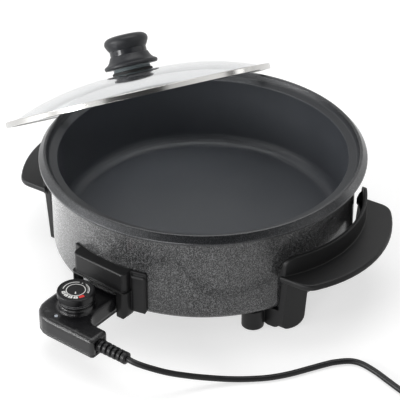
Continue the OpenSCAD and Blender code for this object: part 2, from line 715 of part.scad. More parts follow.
module thermostat_cover() color([0.08, 0.08, 0.09]) at_socket() difference() {
    union() {
        difference() {
            union() {
                strip_loft([case_ring(0, split_z), case_ring(0, thermo_top - 4.2),
                    case_ring(0.3, thermo_top - 2.7), case_ring(1.1, thermo_top - 1.3),
                    case_ring(2.4, thermo_top - 0.4), case_ring(4.2, thermo_top)]);
                translate([dial_s, 0, thermo_top - 1]) cylinder(d = collar_d, h = collar_h + 1);
            }
            translate([0, 0, split_z - 1]) linear_extrude(thermo_top - split_z - shell + 1)
                polygon(rounded(inset(case_outline, shell), 5));
        }
        case_bosses() translate([0, 0, split_z]) cylinder(d = 7, h = thermo_top - split_z - 1);
    }
    case_bosses() translate([0, 0, split_z - 1]) cylinder(r = 1.5 + eps, h = 12);
    translate([dial_s, 0, 0]) cylinder(r = shaft_d / 2 + running, h = 120);
    for (y = [-1, 1]) along(nose_s - 1, y * pin_pitch / 2, element_z, 3.4, 6);
    along(nose_s - 1, 0, element_z, probe_d / 2 + screw_gap, 6);
    // recess and hole of the strain relief in the end of the arm
    translate([relief_s, arm_reach, element_z]) {
        translate([-8.2, -0.8, -7.6]) cube([16.4, 3, 15.2]);
        rotate([90, 0, 0]) cylinder(r = 6.2, h = 10, center = true);
    }
    // hole of the indicator lens
    translate([arm_out - 12, -5, thermo_top - 6]) cylinder(r = 2.2, h = 10);
}

module thermostat_base() color([0.08, 0.08, 0.09]) at_socket() difference() {
    union() {
        difference() {
            strip_loft([case_ring(1.8, thermo_bot), case_ring(0.5, thermo_bot + 0.6),
                case_ring(0, thermo_bot + 1.6), case_ring(0, split_z - 0.1)]);
            translate([0, 0, thermo_bot + shell]) linear_extrude(10)
                polygon(rounded(inset(case_outline, shell), 5));
        }
        case_bosses() translate([0, 0, thermo_bot + 1])
            cylinder(r = 4.2, h = split_z - thermo_bot - 1.2);
    }
    case_bosses() translate([0, 0, thermo_bot - 1]) {
        cylinder(r = 1.5 + screw_gap, h = 12);
        cylinder(r = 3.2, h = 1 + case_head + 0.3);
    }
}

module case_screws() color([0.75, 0.75, 0.77]) at_socket() case_bosses()
    translate([0, 0, thermo_bot + 0.3]) difference() {
        union() {
            cylinder(r = 1.5, h = 12);
            cylinder(r = 3, h = case_head);
        }
        translate([-2, -0.4, -0.5]) cube([4, 0.8, 1]);
    }

module probe_rod() color([0.78, 0.78, 0.8]) at_socket() {
    tip = nose_s - probe_len;
    along(tip + probe_d / 2, 0, element_z, probe_d / 2, probe_len + 14 - probe_d / 2);
    translate([tip + probe_d / 2, 0, element_z]) sphere(d = probe_d);
    along(nose_s + shell + 2.3, 0, element_z, probe_d / 2 + 1.6, 3);
}

module socket_terminals() color([0.8, 0.66, 0.35]) at_socket()
    for (y = [-1, 1]) difference() {
        union() {
            along(nose_s + shell + 0.5, y * pin_pitch / 2, element_z, pin_d / 2 + 1.2, 16);
            translate([nose_s + 18, y * pin_pitch / 2 - 3, element_z - 0.5])
                cube([14, 6, 1]);
        }
        along(nose_s, y * pin_pitch / 2, element_z, pin_d / 2 + running, 16);
    }

// Stamped frame: it grips the probe, guides the dial shaft and carries the leaf stack
module thermostat_frame() color([0.7, 0.7, 0.72]) at_socket() difference() {
    union() {
        translate([nose_s + 12, -8, element_z - 9]) cube([36, 16, 1.2]);
        translate([nose_s + 12, -8, element_z - 9]) cube([1.2, 16, 16]);
        translate([dial_s - 8, -8, element_z - 9]) cube([16, 16, 2.4]);
        translate([leaf_s, 2, element_z - 9]) cube([6, 7.4, 16]);
    }
    along(nose_s + 8, 0, element_z, probe_d / 2 + eps, 10);
    translate([dial_s, 0, 0]) cylinder(r = shaft_d / 2 + running, h = 100);
    for (z = leaf_z) translate([leaf_s - 1, leaf_y - 0.1, element_z + z - 0.1])
        cube([8, 8, leaf_t + 0.2]);
}

module contact_leaves() color([0.8, 0.66, 0.35]) at_socket()
    for (z = leaf_z) translate([leaf_s, leaf_y, element_z + z]) {
        cube([34, 5, leaf_t]);
        translate([30, 2.5, z < 0 ? 0 : -1]) cylinder(d = 3.6, h = 1.5);
    }

// Neon lamp standing on the base under its lens
module pilot_lamp() color([0.9, 0.5, 0.2]) at_socket()
    translate([arm_out - 12, -5, thermo_bot + shell + 0.1]) {
        cylinder(r = 2.4, h = 15);
        translate([0, 0, 15]) sphere(r = 2);
    }

module indicator_lens() color([0.85, 0.87, 0.9]) at_socket()
    translate([arm_out - 12, -5, 0]) {
        translate([0, 0, thermo_top - shell - 1]) cylinder(r = 3.4, h = 0.9);
        translate([0, 0, thermo_top - shell - 1]) cylinder(r = 2.1, h = shell + 1.2);
    }

module cord_clamp() color([0.6, 0.6, 0.62]) at_socket() difference() {
    translate([relief_s - 10, arm_reach - 22, thermo_bot + shell + 0.2]) cube([20, 7, 11]);
    translate([relief_s, arm_reach - 30, element_z]) rotate([-90, 0, 0])
        cylinder(r = cord_d / 2 + 0.1, h = 30);
}

module strain_relief() color([0.07, 0.07, 0.07]) at_socket()
    translate([relief_s, arm_reach, element_z]) rotate([-90, 0, 0]) {
        ribs = 5;
        pitch = (relief_len - 7) / ribs;
        translate([0, 0, -11.5]) cylinder(r = cord_d / 2 + 1, h = 15);
        translate([0, 0, -4.6]) cylinder(r = 7.4, h = 2.2);
        translate([0, 0, -3]) cylinder(r = 6, h = 4);
        cylinder(r1 = cord_d / 2 + 1.8, r2 = cord_d / 2 + 0.7, h = relief_len);
        for (i = [0 : ribs - 1]) translate([0, 0, 2 + i * pitch])
            cylinder(r1 = 7.6 - 0.42 * i, r2 = 7.4 - 0.42 * i, h = pitch * 0.62);
        translate([0, 0, relief_len - 6]) cylinder(r = 5.6, h = 6);
    }

// ---- cord ----

module cord_tube() color([0.06, 0.06, 0.06]) sweep(CORD, cord_d / 2);
module cord_tail() color([0.06, 0.06, 0.06]) sweep(TAIL, cord_d / 2);

module cord_coil() color([0.06, 0.06, 0.06]) translate(coil_at)
    rotate_extrude($fn = 96) translate([coil_mid, cord_d]) polygon(rounded([
        [-cord_d, -cord_d, 2.5], [cord_d, -cord_d, 2.5],
        [cord_d, cord_d, 2.5], [-cord_d, cord_d, 2.5]], 4));

module cord_tie() color([0.12, 0.12, 0.12]) translate(coil_at) rotate([0, 0, 100])
    translate([coil_mid, 0, cord_d]) difference() {
        across = 2 * cord_d + 0.8;
        high = 2 * cord_d + 0.2;
        cube([across + 2 * tie_t, 7, high + 2 * tie_t - 0.02], center = true);
        cube([across, 12, high], center = true);
    }

module plug_body() color([0.07, 0.07, 0.07]) translate([plug_x, plug_y, plug_r])
    rotate([-90, 0, 0]) {
        rotate_extrude($fn = 96) polygon([[0, 0], [5, 0], [5.4, 3], [6.2, 14], [8.5, 18],
            [12.5, 22], [15, 28], [15.6, 38], [plug_r, 43], [plug_r, 51],
            [plug_r - 1, 52], [0, 52]]);
        for (i = [0 : 2]) translate([0, 0, 2.5 + 4.5 * i]) cylinder(r = 7, h = 2.4);
    }

module plug_pins() color([0.8, 0.8, 0.82])
    for (x = [-9.5, 9.5]) translate([plug_x + x, plug_y + 52, plug_r])
        rotate([-90, 0, 0]) {
            cylinder(d = 4.8, h = 18);
            translate([0, 0, 18]) cylinder(d1 = 4.8, d2 = 3.2, h = 1);
        }

// ---- dial ----

module dial_knob() color([0.08, 0.08, 0.09]) at_socket() translate([dial_s, 0, dial_z]) {
    r = dial_d / 2;
    h = skirt_h + dial_t;
    difference() {
        rotate_extrude($fn = 120) polygon(concat([[0, 0], [r - 1.9, 0], [r - 1.5, 0.5],
            [r - 1.5, 1.7], [r - 2, 1.9], [r - 2, 2.5], [r - 1.5, 2.7], [r - 1.5, 3.7],
            [r - 2, 3.9], [r - 2, 4.5], [r - 1.5, 4.7], [r - 1.5, skirt_h],
            [r - 0.6, skirt_h]], arc([r - 0.8, skirt_h + 0.8], 0.8, -60, 0, 2),
            arc([r - 1.4, h - 1.4], 1.4, 0, 90, 4), [[0, h]]));
        translate([0, 0, h - 0.8]) cylinder(r = r - 3 + 0.1, h = 2);
        translate([0, 0, -1]) cylinder(d = shaft_d, h = h - 4);
    }
}

module dial_plate() color([0.05, 0.05, 0.05]) at_socket()
    translate([dial_s, 0, dial_z + skirt_h + dial_t - 0.8]) cylinder(r = dial_d / 2 - 3, h = 0.6);

module dial_shaft() color([0.8, 0.66, 0.35]) at_socket()
    translate([dial_s, 0, element_z - 6.4])
    cylinder(d = shaft_d - 2 * eps, h = dial_z + skirt_h + dial_t - 5.1 - element_z + 6.4);

inner_pan();
outer_housing();
heating_element();
terminal_plate();
pin_insulators();
heat_shield();
shield_spacers();
body_screws();
handle_right();
handle_left();
foot_pads();
handle_screws();
nut_plates();
socket_guard();
guard_screws();
lid_glass();
lid_rim_band();
lid_knob();
knob_base();
knob_gasket();
knob_screw();
knob_washer();
steam_vent();
thermostat_cover();
thermostat_base();
probe_rod();
socket_terminals();
thermostat_frame();
contact_leaves();
pilot_lamp();
indicator_lens();
cord_clamp();
case_screws();
strain_relief();
cord_tube();
cord_coil();
cord_tie();
cord_tail();
plug_body();
plug_pins();
dial_knob();
dial_plate();
dial_shaft();
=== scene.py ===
# %% [markdown]
# # Electric skillet with a leaning glass lid
# A deep cast pan hangs in a painted housing. Two moulded handles are also its four legs. A
# thermostat with a dial plugs into a guarded socket, and the glass lid leans on the rim. The
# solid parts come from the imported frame, so everything here is in metres in that frame, with
# +Z up and the origin on the table under the pan. This lesson gives them their finishes and
# adds what a solid modeller does badly: the cord, the turned knob and the print on the dial.

import math

import bpy
import numpy as np
from mathutils import Matrix


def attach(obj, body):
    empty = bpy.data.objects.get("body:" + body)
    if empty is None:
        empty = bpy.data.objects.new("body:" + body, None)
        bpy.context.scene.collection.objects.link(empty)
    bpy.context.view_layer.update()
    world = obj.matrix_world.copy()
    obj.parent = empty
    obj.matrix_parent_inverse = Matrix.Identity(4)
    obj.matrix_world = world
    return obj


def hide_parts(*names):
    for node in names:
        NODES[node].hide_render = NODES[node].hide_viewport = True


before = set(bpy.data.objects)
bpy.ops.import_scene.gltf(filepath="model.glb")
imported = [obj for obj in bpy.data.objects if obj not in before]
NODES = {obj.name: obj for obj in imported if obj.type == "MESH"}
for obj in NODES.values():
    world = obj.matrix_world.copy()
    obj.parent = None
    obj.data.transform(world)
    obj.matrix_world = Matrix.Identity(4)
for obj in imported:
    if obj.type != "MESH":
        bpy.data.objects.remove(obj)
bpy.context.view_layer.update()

# %% [markdown]
# ## Camera
# A product shows best from some way off through a long lens, so that the round rim stays a
# clean ellipse. The lens is 144 mm on a 36 mm sensor: the width of the view is then a
# quarter of the distance. The camera stands 1.66 m in front and 1.17 m up, and looks down
# by 33.5 degrees. A camera that isn't turned looks straight down, so its tilt is measured
# from there.

# %% Camera
CAMERA_AT = (0.0, -1.6593, 1.1718)
CAMERA_TILT, CAMERA_TURN = 56.46, 0.13    # degrees up from straight down, and about z
SENSOR_MM, LENS_MM = 36.0, 144.0

lens = bpy.data.cameras.new("camera")
lens.sensor_width, lens.lens = SENSOR_MM, LENS_MM
lens.clip_start, lens.clip_end = 0.1, 50.0
camera = bpy.data.objects.new("camera", lens)
bpy.context.scene.collection.objects.link(camera)
camera.location = CAMERA_AT
camera.rotation_euler = (math.radians(CAMERA_TILT), 0.0, math.radians(CAMERA_TURN))
bpy.context.scene.camera = camera
print("camera looks down by", round(90 - CAMERA_TILT, 2), "degrees")

# %% [markdown]
# ## From numbers to a mesh
# Every new piece is a grid of points: one parameter runs round the piece and the other along
# it. A grid is easy to turn into faces, because the four corners of a face are the same four
# index offsets everywhere. numpy works out all of them at once, and from_pydata takes them.

# %% Grid surfaces
UNIT_SQUARE = ((0, 0), (0, 1), (1, 1), (1, 0))


def grid_faces(rows, cols, round_rows=False, round_cols=True):
    """Quads of a rows x cols grid of points. Corner k of quad (i, j) is point
    ((i + a) mod rows, (j + b) mod cols), with a and b running round the unit square."""
    i = np.arange(rows if round_rows else rows - 1)[:, None]
    j = np.arange(cols if round_cols else cols - 1)[None, :]
    corners = [((i + a) % rows) * cols + (j + b) % cols for a, b in UNIT_SQUARE]
    return np.stack([corner.ravel() for corner in corners], axis=1)


def make_piece(name, points, faces, body, slot, node=(), smooth=True):
    """Puts points and faces into a mesh object at the origin and lets it ride on a body.
    node names the frame nodes whose place it takes."""
    mesh = bpy.data.meshes.new(name)
    mesh.from_pydata(np.asarray(points, float).reshape(-1, 3).tolist(), [],
                     [tuple(int(v) for v in f) for f in faces])
    mesh.update()
    mesh.polygons.foreach_set("use_smooth", np.full(len(mesh.polygons), smooth))
    piece = bpy.data.objects.new(name, mesh)
    bpy.context.scene.collection.objects.link(piece)
    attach(piece, body)
    if node:
        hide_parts(*([node] if isinstance(node, str) else node))
    return piece


def fan_caps(rows, cols):
    """The two end faces of a tube of rows x cols points, as one polygon each: the first row
    backwards and the last row forwards."""
    first = np.arange(cols)[::-1]
    last = (rows - 1) * cols + np.arange(cols)
    return [tuple(first), tuple(last)]


print("a 3 x 4 tube has", len(grid_faces(3, 4)), "side faces")

# %% [markdown]
# ## Three places on the skillet
# Three groups of pieces are easier to shape in a frame of their own: the socket's, where x
# points away from the pan along the probe, the dial's, which is the socket's moved to the
# shaft, and the lid's, where z is the lid's axis. A rotation matrix and an origin take a
# whole array of points from such a frame to the table's frame in one product.

# %% Local frames


def turn_z(degrees):
    """Matrix that turns about z: columns are the turned x, y and z axes."""
    c, s = math.cos(math.radians(degrees)), math.sin(math.radians(degrees))
    return np.array([[c, -s, 0], [s, c, 0], [0, 0, 1.0]])


def turn_y(degrees):
    """Matrix that turns about y: columns are the turned x, y and z axes."""
    c, s = math.cos(math.radians(degrees)), math.sin(math.radians(degrees))
    return np.array([[c, 0, s], [0, 1, 0], [-s, 0, c]])


SOCKET = turn_z(-127.4)
ELEMENT_Z = 0.0403                    # height of the element, the probe and the cord's exit
DIAL_AT = SOCKET @ np.array([0.2395, 0, 0])
DIAL_TOP = 0.07455
RELIEF_S, RELIEF_W = 0.2676, 0.059    # where the cord's boot starts, in the socket's frame

LID_TILT, LID_HEADING, LID_R, BAND_H = 32.5, 114.5, 0.1815, 0.0075
LID = turn_z(LID_HEADING) @ turn_y(LID_TILT)
LID_AT = np.array([-0.0872, 0.2102, LID_R * math.sin(math.radians(LID_TILT))
                   + BAND_H / 2 * math.cos(math.radians(LID_TILT))])


def at_socket(points):
    """Socket frame to table frame: each point is turned by SOCKET."""
    return np.asarray(points) @ SOCKET.T


def at_lid(points):
    """Lid frame to table frame: each point is turned by LID and moved to LID_AT."""
    return np.asarray(points) @ LID.T + LID_AT


print("dial at", DIAL_AT.round(4), "lid at", LID_AT.round(4))

# %% [markdown]
# ## The mains cord
# The cord leaves its boot on the thermostat's arm, sinks to the table and runs to the right.
# What is left over is put away as a small round coil with a tie, and the plug lies beside it.
# It is a 7 mm three-core lead, so it bends no tighter than 28 mm. The route is a list of
# points joined by a Catmull-Rom curve, then the coil: most of an outside turn, most of an
# inside turn, and part of one on top of them, which leaves towards the plug.

# %% Route of the cord
MM = 0.001
CORD_D = 0.007
ROUTE = MM * np.array([
    [-83.6, -273, 40.3], [-74.7, -279.4, 39.8], [-59.8, -281.8, 35.2], [-38, -280.2, 26.6],
    [-14.5, -274.6, 17.4], [8, -269.5, 10.4], [31, -266, 5.8], [53, -263.5, 3.9],
    [76, -260.5, 3.6], [99, -254, 3.6], [122, -244.5, 3.6], [140, -237, 3.6],
    [152, -233, 3.6], [169, -231, 3.6], [182, -236, 3.6], [196, -249.5, 3.6],
    [209, -266, 3.6], [221, -281.5, 3.7], [236, -300, 4.2], [252, -320.5, 4.6]])
COIL_AT = np.array([0.285, -0.295, 0.001])
COIL_START, COIL_END = 217.7, 1080.0              # degrees walked round the coil
OUTSIDE_R, INSIDE_R, TOP_R = 0.0418, 0.0350, 0.0385
TO_INSIDE, TO_TOP = (540, 600), (850, 940)        # degrees over which it changes turns
LIES_AT, LAYER = 0.0036, 0.0072                   # height of a turn, and from turn to turn
PLUG_X, PLUG_Y, PLUG_R = 0.3235, -0.2575, 0.0186
TAIL = np.array([[PLUG_X, COIL_AT[1], 0.0118], [PLUG_X, COIL_AT[1] + 0.012, 0.0136],
                 [PLUG_X, COIL_AT[1] + 0.024, 0.0174], [PLUG_X, COIL_AT[1] + 0.037, PLUG_R]])


def through(points, per):
    """Catmull-Rom curve: between points b and c, with neighbours a and d, the place is half of
    2b + (c - a)t + (2a - 5b + 4c - d)t^2 + (3b - a - 3c + d)t^3, for t from 0 to 1."""
    p = np.vstack([points[:1], points, points[-1:]])
    a, b, c, d = (p[k:len(p) - 3 + k, None, :] for k in range(4))
    t = (np.arange(per) / per)[None, :, None]
    curve = 0.5 * (2 * b + (c - a) * t + (2 * a - 5 * b + 4 * c - d) * t ** 2
                   + (3 * b - a - 3 * c + d) * t ** 3)
    return np.vstack([curve.reshape(-1, 3), points[-1:]])


def ease(x, low, high):
    """Smooth step from 0 at low to 1 at high: 3t^2 - 2t^3."""
    t = np.clip((x - low) / (high - low), 0, 1)
    return t * t * (3 - 2 * t)


def coil_turns(count=180):
    """The coil's centre line, (r cos a, r sin a, z): radius and height are steady, with eased
    changes from the outside turn to the inside one and from that to the top one."""
    degrees = np.linspace(COIL_START, COIL_END, count)
    rise = ease(degrees, *TO_TOP)
    r = (OUTSIDE_R + (INSIDE_R - OUTSIDE_R) * ease(degrees, *TO_INSIDE)
         + (TOP_R - INSIDE_R) * rise)
    a = np.radians(degrees)
    return COIL_AT + np.stack([r * np.cos(a), r * np.sin(a), LIES_AT + LAYER * rise], axis=1)


# The coil starts half a span before the route's last point, and ends at the tail's first.
PER_SPAN = 8
cord_line = np.vstack([through(ROUTE, PER_SPAN)[:-PER_SPAN // 2], coil_turns(),
                       through(TAIL, 6)[1:]])

# %% [markdown]
# ## A tube along a path
# A round cord is a circle carried along its route. Each circle stands square to the path, on
# one axis that stays level and one across it. That is enough here, because the cord never
# runs straight up.

# %% Tube


def tube(line, radius, sides):
    """Circle of the given radius round each point: centre + r (cos a u + sin a v), where u
    is tangent x up and v is u x tangent."""
    tangent = np.gradient(line, axis=0)
    tangent /= np.linalg.norm(tangent, axis=1, keepdims=True)
    u = np.cross(tangent, [0, 0, 1.0])
    u /= np.linalg.norm(u, axis=1, keepdims=True)
    v = np.cross(u, tangent)
    a = np.linspace(0, 2 * np.pi, sides, endpoint=False)
    return line[:, None, :] + radius * (np.cos(a)[None, :, None] * u[:, None, :]
                                        + np.sin(a)[None, :, None] * v[:, None, :])


def tube_piece(name, line, radius, body, sides=16, **more):
    """A closed tube as a piece: its circles joined by quads, with a cap at each end."""
    faces = [tuple(f[::-1]) for f in grid_faces(len(line), sides)]
    caps = [c[::-1] for c in fan_caps(len(line), sides)]
    return make_piece(name, tube(line, radius, sides), faces + caps, body, **more)


power_cord = tube_piece("power_cord", cord_line, CORD_D / 2, "thermostat",
                        node=("cord_tube", "cord_coil", "cord_tail"), slot="cord_jacket")
print("cord mesh", len(power_cord.data.polygons), "faces")

# %% [markdown]
# ## The turned knob
# The lid's knob is a solid of revolution: a rounded cap, a neck, and a flare down to a thin
# flange. A lathe surface is one profile of radius and height pairs, swept round an axis, so
# the profile is the only thing to draw. A Catmull-Rom curve through a few points gives the
# soft moulded transitions that a polygon profile can't.

# %% Lathe


def lathe(profile, sides):
    """Point (i, j) is profile radius r_i at angle a_j: (r cos a, r sin a, z_i)."""
    a = np.linspace(0, 2 * np.pi, sides, endpoint=False)[None, :]
    r, z = profile[:, :1], profile[:, 1:2]
    return np.stack([r * np.cos(a), r * np.sin(a), z + 0 * a], axis=2)


def lathe_piece(name, profile, place, body, sides=96, **more):
    """A closed turned piece, with a cap where its profile starts and ends; place takes local
    points to the table's frame."""
    points = place(lathe(profile, sides).reshape(-1, 3))
    faces = [tuple(f) for f in grid_faces(len(profile), sides)]
    return make_piece(name, points, faces + fan_caps(len(profile), sides), body, **more)


def smooth_profile(points, per=6):
    """A Catmull-Rom curve through (radius, height) pairs in millimetres, in metres."""
    flat = np.array([[r, 0, z] for r, z in points], float) * MM
    return through(flat, per)[:, [0, 2]]


CROWN = 32.0                # top of the glass over the band's middle, in mm
KNOB_FOOT = CROWN + 8       # on the ring and the gasket
KNOB = [(4, 0), (33.0, 0), (35.0, 0.5), (36.2, 1.7), (36.4, 3.2), (35.9, 4.6), (34.5, 5.7),
        (32.2, 6.9), (29.9, 9.0), (28.2, 11.6), (26.9, 14.4), (26.1, 16.3), (25.6, 16.7),
        (25.1, 17.0), (25.0, 17.8), (25.0, 20.6), (25.0, 23.4), (25.1, 24.2), (25.7, 24.9),
        (27.2, 27.4), (28.7, 30.2), (29.7, 33.0), (29.8, 35.4), (28.7, 38.4), (25.8, 41.1),
        (21.0, 42.9), (14.0, 43.75), (7.0, 43.97), (1.0, 44.0)]
knob_skin = lathe_piece("knob_skin", smooth_profile([(r, z + KNOB_FOOT) for r, z in KNOB]),
                        at_lid, "lid", node="lid_knob", slot="knob_plastic")
print("knob", [round(float(v), 3) for v in knob_skin.dimensions])

# %% [markdown]
# ## The glass
# Seen from the side, the light crosses the lid twice at a low angle, and every facet of a
# coarse mesh would show as a dark streak. So the glass is turned here as well, finely, from
# the same curve as the solid: the height falls from the crown as a power of the radius,
# flat in the middle and steep at the band. The underside is the same curve 4 mm lower, so
# that the two faces stay parallel and nothing seen through them is bent.

# %% Glass
DOME_R, DOME_Z, DOME_POWER, GLASS_T, GLASS_EDGE = 171.5, 2.0, 2.6, 4.0, 179.5
HOLE_R = 3.05


def dome(r, drop=0.0):
    """Height in mm at radius r: crown - drop - (crown - rim) (r / dome_r)^power."""
    return CROWN - drop - (CROWN - DOME_Z) * (r / DOME_R) ** DOME_POWER


def glass_profile(count=90):
    """Out over the top, round the edge and back in underneath, as a closed loop. Radii crowd
    towards the rim, where the curve is steep, as r = r0 + (r1 - r0) t^0.8."""
    r = HOLE_R + (DOME_R - HOLE_R) * np.linspace(0, 1, count) ** 0.8
    foot = DOME_Z - GLASS_T
    over = np.stack([r, dome(r)], 1)
    edge = np.array([[GLASS_EDGE - 4, DOME_Z - 0.35], [GLASS_EDGE - 0.5, DOME_Z - 0.75],
                     [GLASS_EDGE, DOME_Z - 1.3], [GLASS_EDGE, foot - 0.1],
                     [GLASS_EDGE - 0.5, foot - 0.65], [GLASS_EDGE - 4, foot - 0.35]])
    under = np.stack([r, dome(r, GLASS_T)], 1)[::-1]
    return np.vstack([over, edge, under]) * MM


def ring_piece(name, profile, place, body, sides=192, **more):
    """A turned piece with a hole: the profile is a closed loop and needs no end caps."""
    points = place(lathe(profile, sides).reshape(-1, 3))
    faces = [tuple(f[::-1]) for f in grid_faces(len(profile), sides, round_rows=True)]
    return make_piece(name, points, faces, body, **more)


glass_shell = ring_piece("glass_shell", glass_profile(), at_lid, "lid",
                         node="lid_glass", slot="clear_glass")
print("glass", len(glass_shell.data.polygons), "faces")

# %% [markdown]
# ## Strain relief
# Where the cord leaves the housing, a rubber boot spreads the bend. It is moulded as a taper
# with five blocks, joined by thin necks, so it bends before the cord does. It is a lathe
# surface again, with a profile that steps in and out, and each block's corners are eased.

# %% Boot
CORE_R, CORE_TAPER = 5.0, 0.8                # mm at the foot, and what the end has lost
BLOCK_R, BLOCK_FALL = 7.7, 0.13              # mm at the foot, and what each block loses
FOOT_R, COLLAR_R, COLLAR_ROOM = 7.3, 7.2, 7.0
FIRST_BLOCK = 0.9


def relief_profile(blocks=5, length=40.0):
    """Radius along the boot in mm, from the recess in the housing: a tapered core, plus a
    foot plate, blocks and a closing collar. Each of these adds its own radius less the
    core's, times an eased step that is 1 along it."""
    x = np.linspace(-0.7, length, 260)
    core = CORE_R - CORE_TAPER * np.clip(x, 0, None) / length
    k = np.clip(x - FIRST_BLOCK, 0, None) / ((length - COLLAR_ROOM) / blocks)
    in_block = ease(k % 1, 0.14, 0.26) * (1 - ease(k % 1, 0.74, 0.86)) * (k < blocks)
    in_collar = ease(x, length - 6.2, length - 5.4) * (1 - ease(x, length - 1.3, length + 0.4))
    in_foot = 1 - ease(x, 0.7, 1.1)
    radius = (core + (BLOCK_R - BLOCK_FALL * k - core) * in_block
              + (COLLAR_R - core) * in_collar + (FOOT_R - core) * in_foot)
    return np.stack([radius, x], axis=1) * MM


def at_relief(points):
    """Boot frame, z along the cord's exit, to table frame: local (x, y, z) is the socket
    frame's (x, z, -y) from the boot's foot."""
    p = np.asarray(points)
    local = np.stack([RELIEF_S + p[:, 0], RELIEF_W + p[:, 2], ELEMENT_Z - p[:, 1]], axis=1)
    return at_socket(local)


relief_boot = lathe_piece("relief_boot", relief_profile(), at_relief, "thermostat", sides=48,
                          node="strain_relief", slot="cord_jacket")
print("boot", len(relief_boot.data.polygons), "faces")

# %% [markdown]
# ## The coil's tie
# A soft strap holds the coil. Its path is a rounded rectangle round the coil's section, which
# a superellipse gives in one formula, and a small flat rectangle is carried along it.

# %% Tie
STRAP_TURN = turn_z(100)                       # which side of the coil it is on
STRAP_AT = np.array([0.0385, 0, 0])            # how far out, to the middle of the turns
STRAP_UP = np.array([0, 0, 0.007])


def strap(across=15.2, high=14.2, width=6.8, thick=0.8, count=96):
    """A flat band round the coil's section: a superellipse |y/a|^6 + |z/b|^6 = 1 walked round,
    y = a sign(cos) |cos|^(1/3) and z likewise with sin, with a small rectangle of width x
    thick carried along it."""
    a = np.linspace(0, 2 * np.pi, count, endpoint=False)
    y = across / 2 * np.sign(np.cos(a)) * np.abs(np.cos(a)) ** (1 / 3)
    z = high / 2 * np.sign(np.sin(a)) * np.abs(np.sin(a)) ** (1 / 3)
    corners = np.array([[-0.5, 0], [0.5, 0], [0.5, 1], [-0.5, 1]])
    x = corners[None, :, 0] * width + 0 * y[:, None]
    scale = 1 + corners[None, :, 1] * thick / (high / 2)
    return np.stack([y[:, None] * scale, x, z[:, None] * scale], axis=2) * MM


band = strap()
band_faces = grid_faces(*band.shape[:2], round_rows=True)
band = band.reshape(-1, 3) @ STRAP_TURN.T + STRAP_TURN @ STRAP_AT + COIL_AT + STRAP_UP
coil_strap = make_piece("coil_strap", band, band_faces, "thermostat", node="cord_tie",
                        slot="black_rubber", smooth=False)
print("strap", [round(float(v), 3) for v in coil_strap.dimensions])

# %% [markdown]
# ## The plug
# Two round pins in a moulded body. The body is turned: a ribbed sleeve where the cord goes
# in, a waist to pull on and a wide face. Its pins come from the frame.

# %% Plug
PLUG = [(1, 0), (4.6, 0), (5.4, 0.5), (5.6, 2.4), (6.9, 2.8), (6.9, 4.6), (5.9, 5.2),
        (6.0, 7.0), (7.1, 7.4), (7.1, 9.2), (6.3, 9.8), (6.4, 11.6), (7.2, 12.0),
        (7.3, 13.8), (6.9, 14.6), (8.4, 18.0), (12.0, 22.0), (14.6, 27.4), (15.2, 33.0),
        (15.8, 38.0), (18.2, 42.4), (18.5, 44.0), (18.5, 50.6), (18.0, 51.8), (16.8, 52.0),
        (1, 52.0)]


def at_plug(points):
    """Plug frame, z towards the pins, to table frame: local (x, y, z) is the table's
    (x, z, -y) from the plug's sleeve."""
    p = np.asarray(points)
    return np.stack([PLUG_X + p[:, 0], PLUG_Y + p[:, 2], PLUG_R - p[:, 1]], axis=1)


plug_skin = lathe_piece("plug_skin", smooth_profile(PLUG, 4), at_plug, "thermostat", sides=64,
                        node="plug_body", slot="cord_jacket")
print("plug", [round(float(v), 3) for v in plug_skin.dimensions])

# %% [markdown]
# ## Shader maths in Python
# A finish is a small program of nodes. Written node by node it can't be read, so Socket wraps
# an output and turns Python's operators into Math nodes, and Nodes.node adds any other
# node: first its settings, then the values or links of its sockets.

# %% Sockets


class Socket:
    """A number, colour or vector that comes out of a node."""

    def __init__(self, finish, out):
        self.finish, self.out = finish, out

    def math(self, operation, *others):
        """A Math node on this number and the others."""
        return self.finish.node("Math", {"operation": operation},
                                dict(enumerate((self,) + others)))

    def __add__(self, b): return self.math("ADD", b)
    def __radd__(self, b): return self.math("ADD", b)
    def __sub__(self, b): return self.math("SUBTRACT", b)
    def __rsub__(self, b): return (self * -1.0).math("ADD", b)
    def __mul__(self, b): return self.math("MULTIPLY", b)
    def __rmul__(self, b): return self.math("MULTIPLY", b)
    def __pow__(self, b): return self.math("POWER", b)

    def step(self, low, high, start=0.0, end=1.0):
        """Eased step from start at low to end at high."""
        return self.finish.node("MapRange", {"interpolation_type": "SMOOTHSTEP"},
                                {"Value": self, "From Min": low, "From Max": high,
                                 "To Min": start, "To Max": end})


class Nodes:
    """A node tree, with one method that adds any node."""

    def __init__(self, tree):
        self.tree = tree

    def node(self, kind, settings, values, out=0):
        """Adds a node: settings first, then sockets by name or number. Returns an output,
        or the node itself when out is None."""
        n = self.tree.nodes.new("ShaderNode" + kind)
        for key, value in settings.items():
            setattr(n, key, value)
        for key, value in values.items():
            self.feed(n.inputs[key], value)
        return n if out is None else Socket(self, n.outputs[out])

    def feed(self, socket, value):
        """Links or sets one input."""
        if isinstance(value, Socket):
            self.tree.links.new(value.out, socket)
        elif isinstance(value, (tuple, list)) and socket.type == "RGBA":
            socket.default_value = (*value[:3], 1.0)
        else:
            socket.default_value = value


print("sockets ready")

# %% [markdown]
# ## What every finish needs
# Each finish is one Principled shader, with Object coordinates to lay its patterns on, so a
# pattern stays put when a piece moves. Noise makes a surface uneven, a mix goes from one
# colour to another, and a bump tilts the surface a little. Moulded and folded edges are never
# quite sharp, so the bump can also round the solid's own edges in the shading.

# %% Finishes
EDGE_SAMPLES = 12


